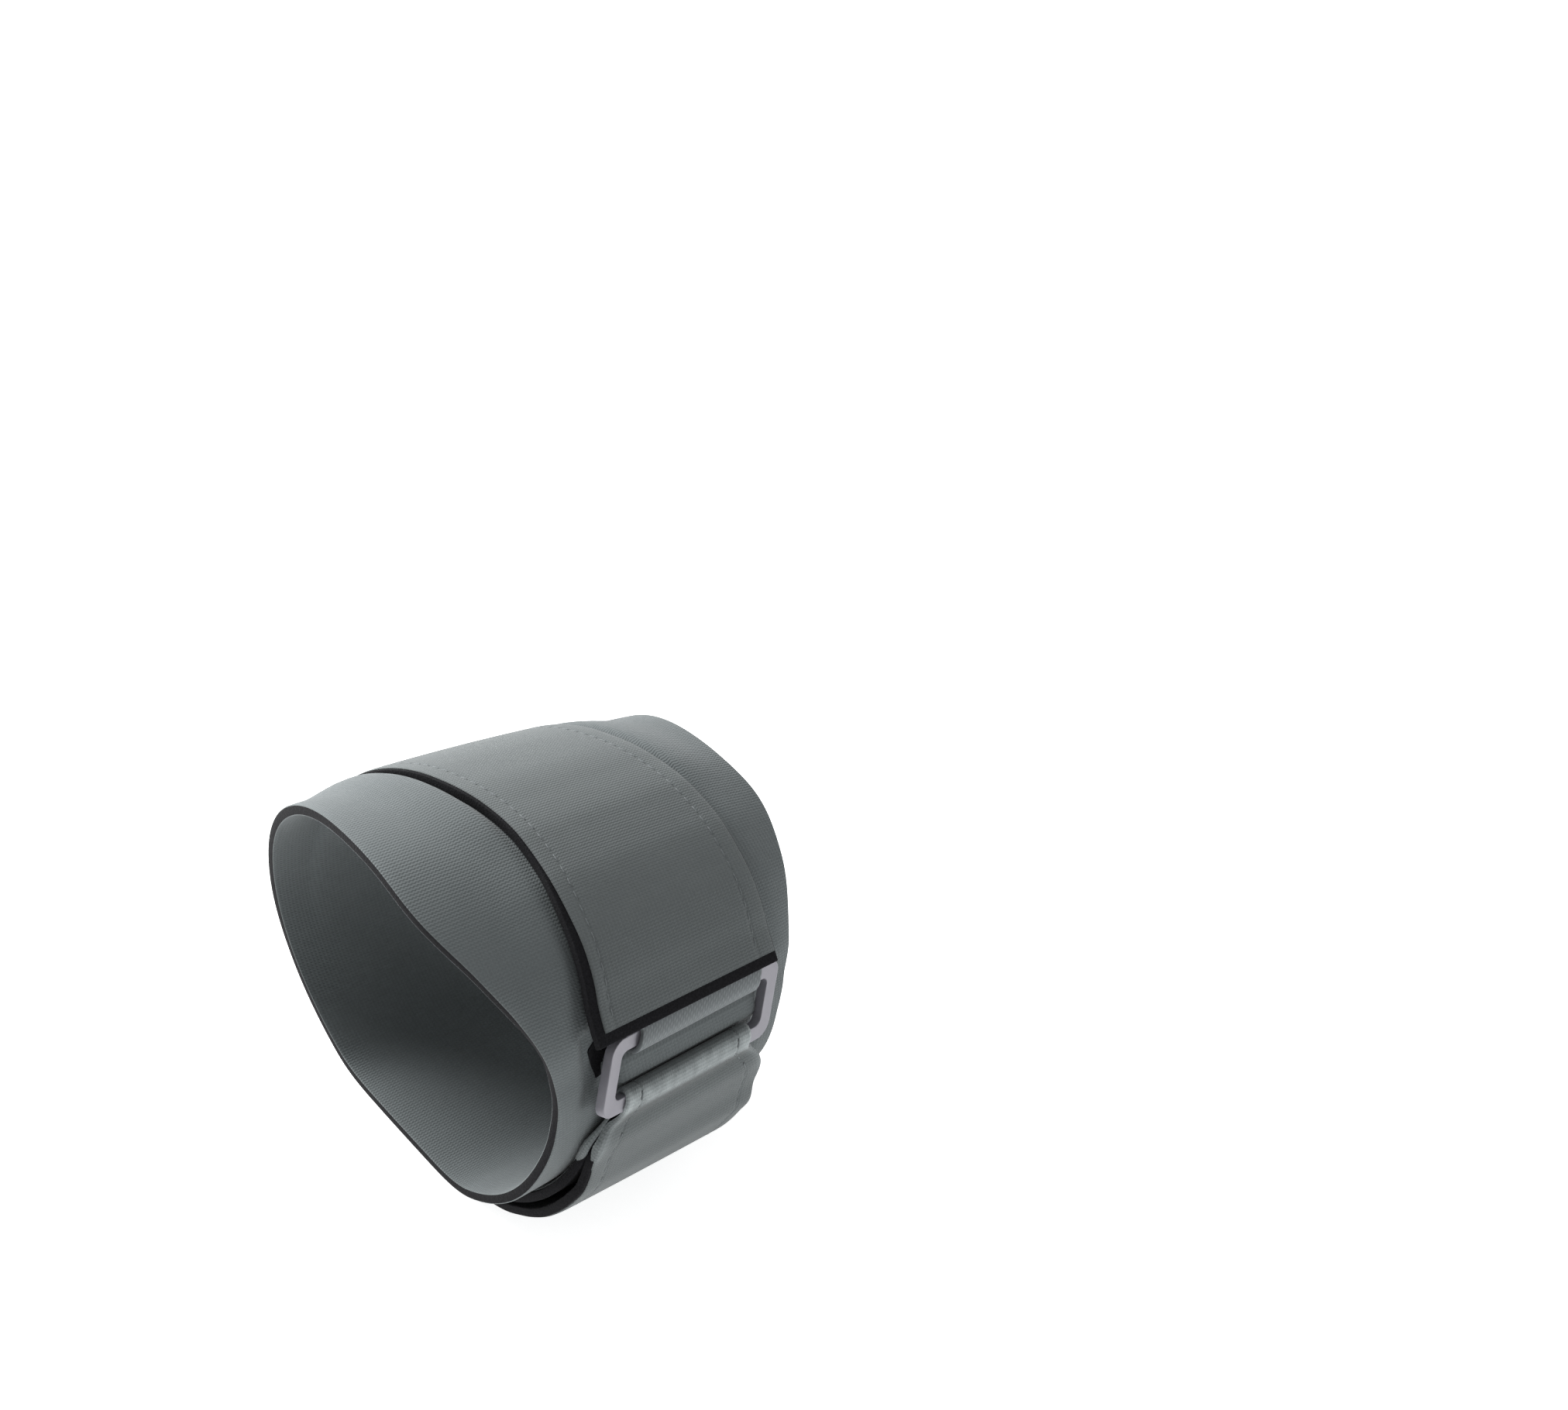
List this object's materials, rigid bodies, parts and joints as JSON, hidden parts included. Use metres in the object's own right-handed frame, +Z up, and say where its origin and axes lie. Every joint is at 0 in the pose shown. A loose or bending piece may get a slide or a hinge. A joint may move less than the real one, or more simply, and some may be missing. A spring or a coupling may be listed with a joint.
{
  "type": "tennis elbow strap",
  "caption": "Fastened forearm strap of grey fabric: a tapered sleeve with a tension strap folded round a rectangular ring",
  "frame": {"origin": "middle of the part's base, on the surface that the strap lies on", "axes": "+X runs along the forearm from the elbow side to the wrist side, +Z is up, and the ring is on the -Y side"},
  "size_m": [0.0904, 0.1108, 0.0924],
  "materials": {
    "band_fabric": "matte grey knit laminated on foam",
    "strap_fabric": "matte grey knit on black foam, with black cut edges",
    "ring_plastic": "moulded mid-grey plastic with a soft sheen",
    "tab_webbing": "woven grey webbing"
  },
  "bodies": {
    "root": {"base_band": "band_fabric", "tension_strap": "strap_fabric", "buckle_ring": "ring_plastic", "ring_tab": "tab_webbing"}
  },
  "joints": []
}
